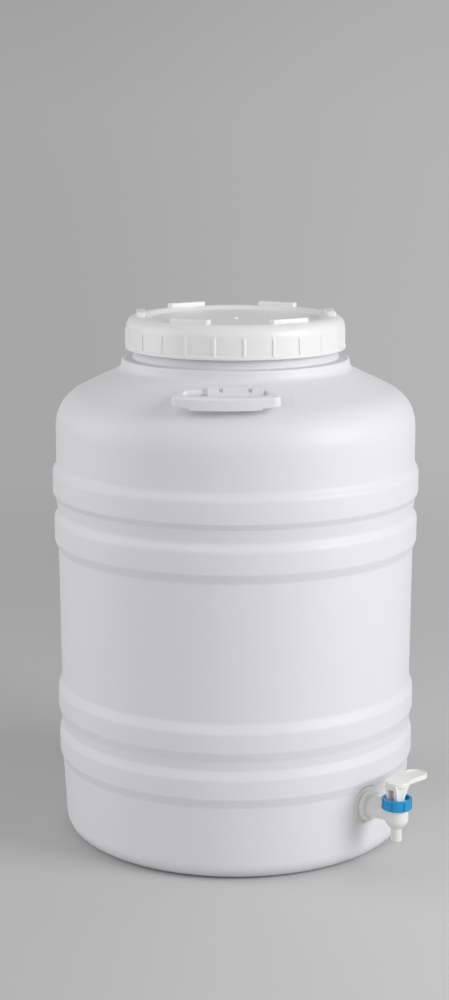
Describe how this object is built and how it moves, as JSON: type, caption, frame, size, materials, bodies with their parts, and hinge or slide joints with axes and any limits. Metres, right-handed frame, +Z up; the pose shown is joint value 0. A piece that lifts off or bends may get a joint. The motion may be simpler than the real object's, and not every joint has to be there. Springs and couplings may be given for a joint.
{
  "type": "water container",
  "caption": "Upright wide-mouth plastic water drum with hooped sides, a screw lid, swing handles on the shoulder and a lever tap near the base.",
  "frame": {"origin": "centre of the ring that the drum stands on", "axes": "+Z up along the drum's axis, -Y to the front handle, +X to the right; the tap stands 46 degrees from the front towards +X"},
  "size_m": [0.3818, 0.3792, 0.5482],
  "materials": {
    "drum_plastic": "milky satin",
    "lid_plastic": "satin",
    "handle_plastic": "satin",
    "tap_plastic": "glossy",
    "lever_plastic": "glossy",
    "collar_plastic": "glossy",
    "washer": "matt white",
    "seal": "matt white",
    "silicone": "soft translucent",
    "spring_steel": "drawn wire"
  },
  "bodies": {
    "drum": {"drum_body": "drum_plastic", "tap_outer_washer": "washer", "tap_inner_washer": "washer", "tap_lock_nut": "tap_plastic", "tap_body": "tap_plastic", "tap_collar": "collar_plastic", "tap_bonnet": "tap_plastic", "tap_spring": "spring_steel"},
    "gasket": {"lid_gasket": "seal"},
    "lid": {"lid": "lid_plastic"},
    "front_handle": {"front_handle": "handle_plastic"},
    "rear_handle": {"rear_handle": "handle_plastic"},
    "valve": {"tap_seat_cup": "silicone"},
    "stem": {"tap_stem": "tap_plastic", "lever_pin": "spring_steel"},
    "lever": {"tap_lever": "lever_plastic"}
  },
  "joints": [
    {"name": "lid_rise", "type": "slide", "parent": "drum", "child": "gasket", "axis": [0, 0, 1], "range_m": [0, 0.0401]},
    {"name": "lid_turn", "type": "hinge", "parent": "gasket", "child": "lid", "pos_m": [0, 0, 0.51], "axis": [0, 0, 1], "range_deg": [0, 1200]},
    {"name": "front_handle_swing", "type": "hinge", "parent": "drum", "child": "front_handle", "pos_m": [-0.009, -0.1389, 0.4815], "axis": [-1, 0, 0], "range_deg": [0, 130]},
    {"name": "rear_handle_swing", "type": "hinge", "parent": "drum", "child": "rear_handle", "pos_m": [0, 0.1389, 0.4815], "axis": [1, 0, 0], "range_deg": [0, 130]},
    {"name": "valve_lift", "type": "slide", "parent": "drum", "child": "valve", "axis": [0, 0, 1], "range_m": [0, 0.0029], "stiffness_N_per_m": 10, "springref_m": 0.0095, "deforming": ["tap_spring", "tap_seat_cup"]},
    {"name": "lever_swivel", "type": "hinge", "parent": "valve", "child": "stem", "pos_m": [0.16027, -0.15477, 0.072], "axis": [0, 0, 1], "range_deg": [-229, 41]},
    {"name": "lever_press", "type": "hinge", "parent": "stem", "child": "lever", "pos_m": [0.16027, -0.15477, 0.084], "axis": [-0.766, 0.6428, 0], "range_deg": [0, 25], "stiffness_Nm_per_rad": 0.045, "springref_deg": -17.19}
  ],
  "couplings": [
    {"joint": "lid_rise", "follows": "lid_turn", "m_per_rad": 0.0019099},
    {"joint": "valve_lift", "follows": "lever_press", "m_per_rad": 0.0066}
  ]
}
